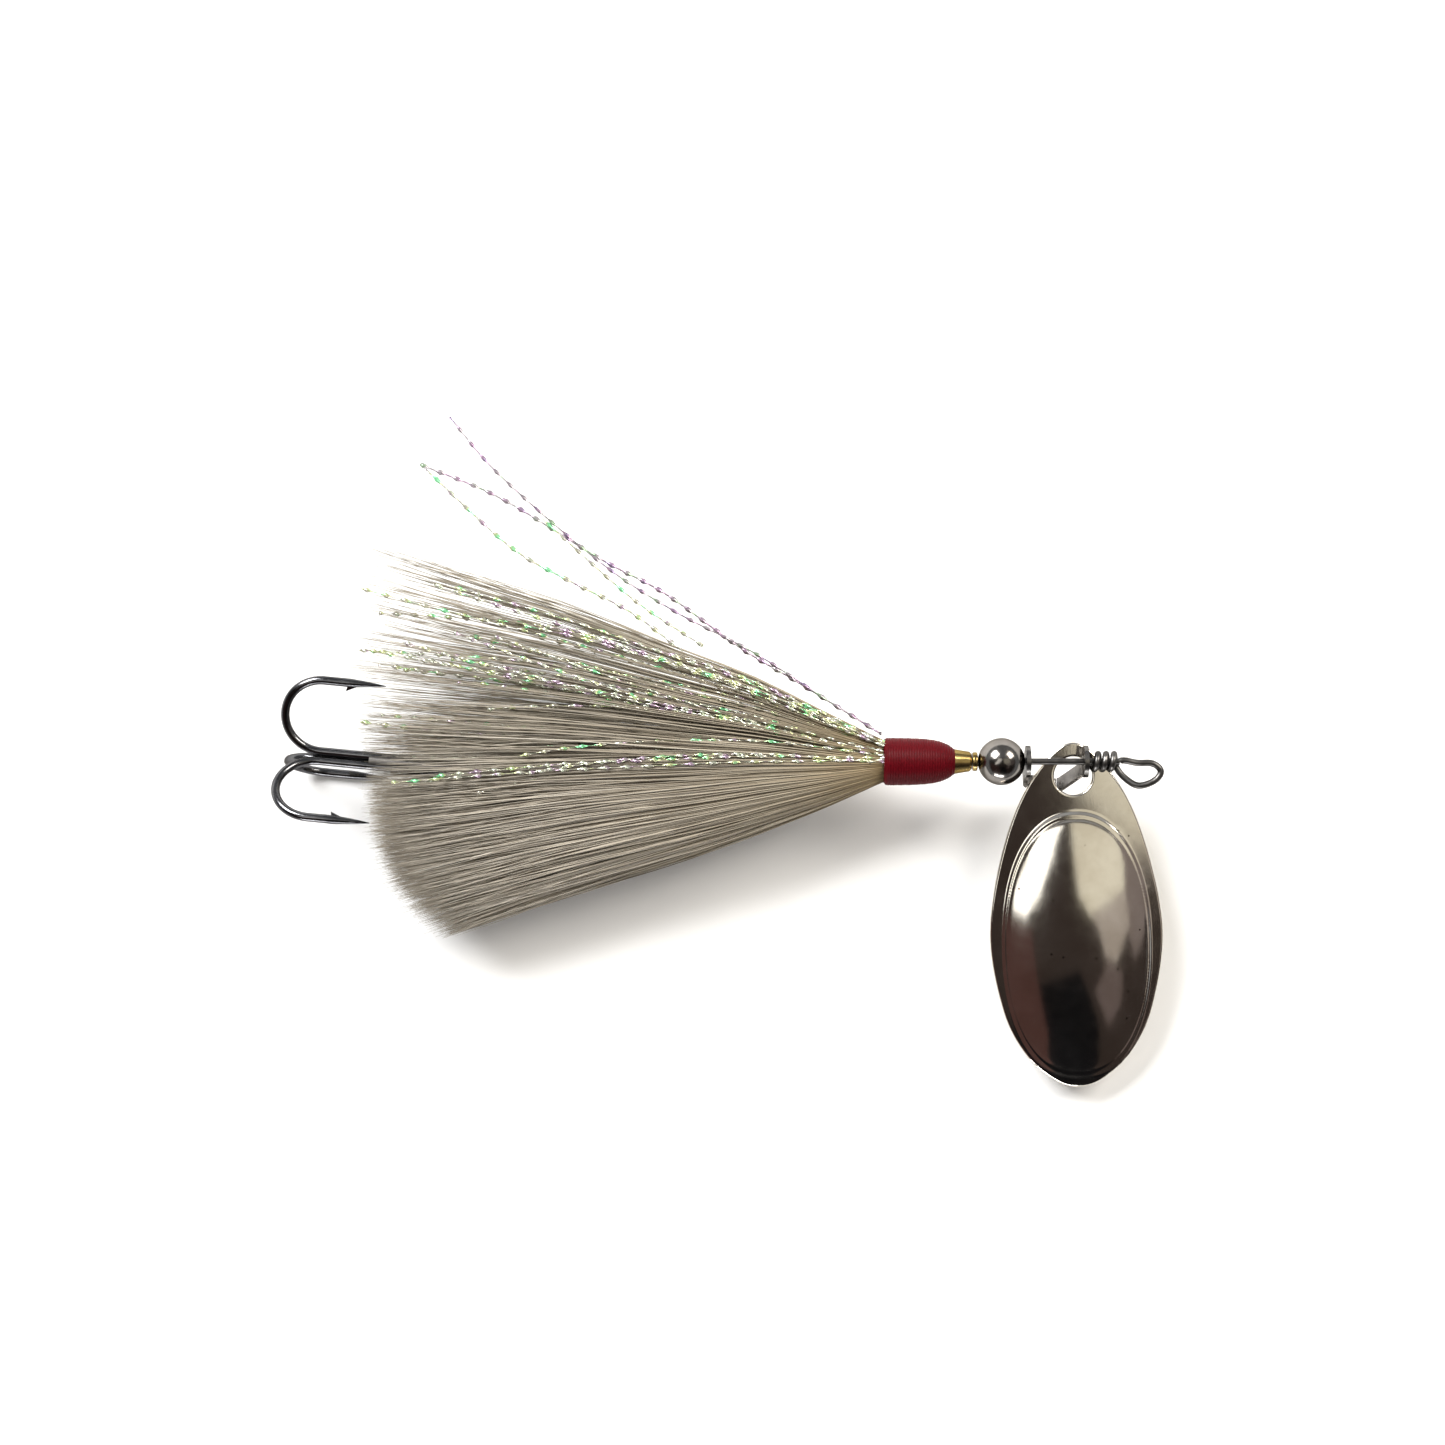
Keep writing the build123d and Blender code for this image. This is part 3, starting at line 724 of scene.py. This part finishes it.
def build_flash():
    """Two loose strands that the CAD also has, two more above the fan, and a field in the fan."""
    for number in (1, 2):
        draw = random.Random(70 + number)
        bundle = Bundle()
        add_flash(bundle, LOOSE_FLASH[number - 1], draw, LOOSE_WAIST)
        strand = bundle.build(f"loose_flash_{number}", loose_film)
        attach(strand, "dressing")
        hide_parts(f"flash_strand_{number}")
    draw = random.Random(75)
    loose = Bundle()
    for knots in LOOSE_FLASH[2:]:
        add_flash(loose, knots, draw, LOOSE_WAIST)
    for group, amount, low, high in (("a", 11, 0.42, 0.66), ("b", 20, 0.60, 0.97)):
        field = Bundle() if group == "a" else loose
        for _ in range(amount):
            share = draw.uniform(low, high)
            drift = draw.gauss(0, 0.05)
            reach = draw.uniform(34, 53)
            layer = draw.uniform(0.35, 1.02)
            bow = draw.gauss(0, 0.8)
            knots = []
            for t in (0.0, 0.12, 0.3, 0.5, 0.7, 0.86, 1.0):
                back = reach * t
                low_y, high_y = edge(LOWER_EDGE, back), edge(UPPER_EDGE, back)
                here = share + drift * (2 * t - 1)
                y = low_y + (high_y - low_y) * here + bow * math.sin(math.pi * t)
                z = middle_height(back) + half_height(back) * layer * (0.98 - 0.2 * abs(2 * share - 1))
                knots.append((back - 0.2, y, z))
            add_flash(field, knots, draw, FIELD_WAIST)
        strands = field.build(f"flash_field_{group}", field_film)
        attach(strands, "dressing")


build_flash()

# ---- studio ---------------------------------------------------------------------------------------
low, high = rest_bounds
centre = (Vector(low) + Vector(high)) / 2


def card(name, corners, colour, strength, layer=0):
    """A flat stage card overhead, seen only as a reflection.

    Each corner is given as the blade sees it, in degrees aside and forward. A higher layer hangs lower.
    """
    middle = (Vector(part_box("blade")[0]) + Vector(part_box("blade")[1])) / 2
    height = CARD_HEIGHT - layer * CARD_STEP
    points = [
        middle + Vector((math.tan(math.radians(aside)), math.tan(math.radians(forward)), 1)) * height
        for aside, forward in corners
    ]
    mesh = bpy.data.meshes.new(name)
    mesh.from_pydata(points, [], [tuple(range(len(points)))])
    obj = bpy.data.objects.new(name, mesh)
    scene.collection.objects.link(obj)
    material, _, shader = new_material(name)
    shader.inputs["Base Color"].default_value = (0, 0, 0, 1)
    shader.inputs["Roughness"].default_value = 1.0
    shader.inputs["Specular IOR Level"].default_value = 0.0
    shader.inputs["Emission Color"].default_value = (*colour, 1)
    shader.inputs["Emission Strength"].default_value = strength
    mesh.materials.append(material)


def build_floor():
    """A plain pale floor."""
    bpy.ops.mesh.primitive_plane_add(size=3, location=(centre.x, centre.y, table_z - 0.00005))
    floor = bpy.context.object
    floor.name = "floor"
    material, tree, shader = new_material("floor_paper")
    tree.links.new(
        ramp(tree, noise(tree, 60), (0.3, (0.86, 0.86, 0.855)), (0.7, (0.88, 0.88, 0.875))),
        shader.inputs["Base Color"],
    )
    shader.inputs["Roughness"].default_value = 0.9
    floor.data.materials.append(material)


def area_light(name, place, size, watts, colour=(1, 1, 1)):
    """A soft box that faces the lure."""
    data = bpy.data.lights.new(name, "AREA")
    data.shape = "RECTANGLE"
    data.size, data.size_y = size
    data.energy = watts
    data.color = colour
    obj = bpy.data.objects.new(name, data)
    obj.location = centre + Vector(place)
    obj.rotation_euler = (-Vector(place)).to_track_quat("-Z", "Y").to_euler()
    scene.collection.objects.link(obj)


CARD_HEIGHT = 0.42
CARD_STEP = 0.004
build_floor()
area_light("key_box", (-0.42, 0.46, 0.50), (0.40, 0.40), 11.5)
area_light("fill_box", (0.50, 0.40, 0.48), (0.34, 0.30), 5.5, (1.0, 0.95, 0.87))
area_light("low_box", (-0.15, -0.95, 0.24), (0.6, 0.16), 5.0)
card("dark_roof", ((-66, 20), (-66, -66), (66, -66), (66, 20)), (0.034, 0.025, 0.022), 1.0)
card(
    "black_low",
    ((-20, -26), (8, -22), (14, -28), (22, -36), (32, -66), (-16, -66), (-12, -40)),
    (0.005, 0.005, 0.006),
    1.0,
    1,
)
card(
    "brown_left",
    ((-60, -10), (-24, -14), (-22, -22), (-13, -38), (-18, -66), (-60, -66)),
    (0.070, 0.034, 0.030),
    1.0,
    2,
)
card("grey_right", ((36, 16), (62, 16), (62, -12), (46, -22), (38, -12)), (0.20, 0.165, 0.155), 1.0, 1)
card("grey_low", ((18, -27), (27, -20), (38, -24), (38, -32), (29, -37)), (0.13, 0.10, 0.095), 1.0, 2)
card(
    "cream_top",
    ((4, 18), (34, 16), (37, 5), (38, -4), (30, -10), (14, -9.5), (7, -4.5), (5, 6)),
    (0.80, 0.75, 0.62),
    0.95,
    3,
)
card(
    "cream_low",
    ((14, -9), (38, -3), (42, -14), (33, -21), (25, -19), (20, -13)),
    (0.44, 0.39, 0.35),
    0.95,
    4,
)
card(
    "streak_left",
    ((-20, 18), (0, 15), (-8, 5), (-18, -6), (-28, -12), (-37, -11), (-35, -4), (-26, 4)),
    (1.0, 0.98, 0.93),
    2.0,
    3,
)

world = bpy.data.worlds.new("studio")
world.use_nodes = True
world.node_tree.nodes["Background"].inputs["Color"].default_value = (0.90, 0.92, 0.95, 1)
world.node_tree.nodes["Background"].inputs["Strength"].default_value = 0.34
scene.world = world

# ---- camera: straight above, with the lure a little below the middle of its frame ----
CAMERA_HEIGHT = 0.30
FRAME_WIDTH = 0.1445
ABOVE_MIDDLE = 0.0032
camera_data = bpy.data.cameras.new("camera")
camera_data.sensor_width = 36
camera_data.lens = 36 * CAMERA_HEIGHT / FRAME_WIDTH
camera_data.clip_start = 0.01
camera = bpy.data.objects.new("camera", camera_data)
camera.location = (centre.x, centre.y + ABOVE_MIDDLE, CAMERA_HEIGHT)
scene.collection.objects.link(camera)
scene.camera = camera
scene.view_settings.view_transform = "Standard"
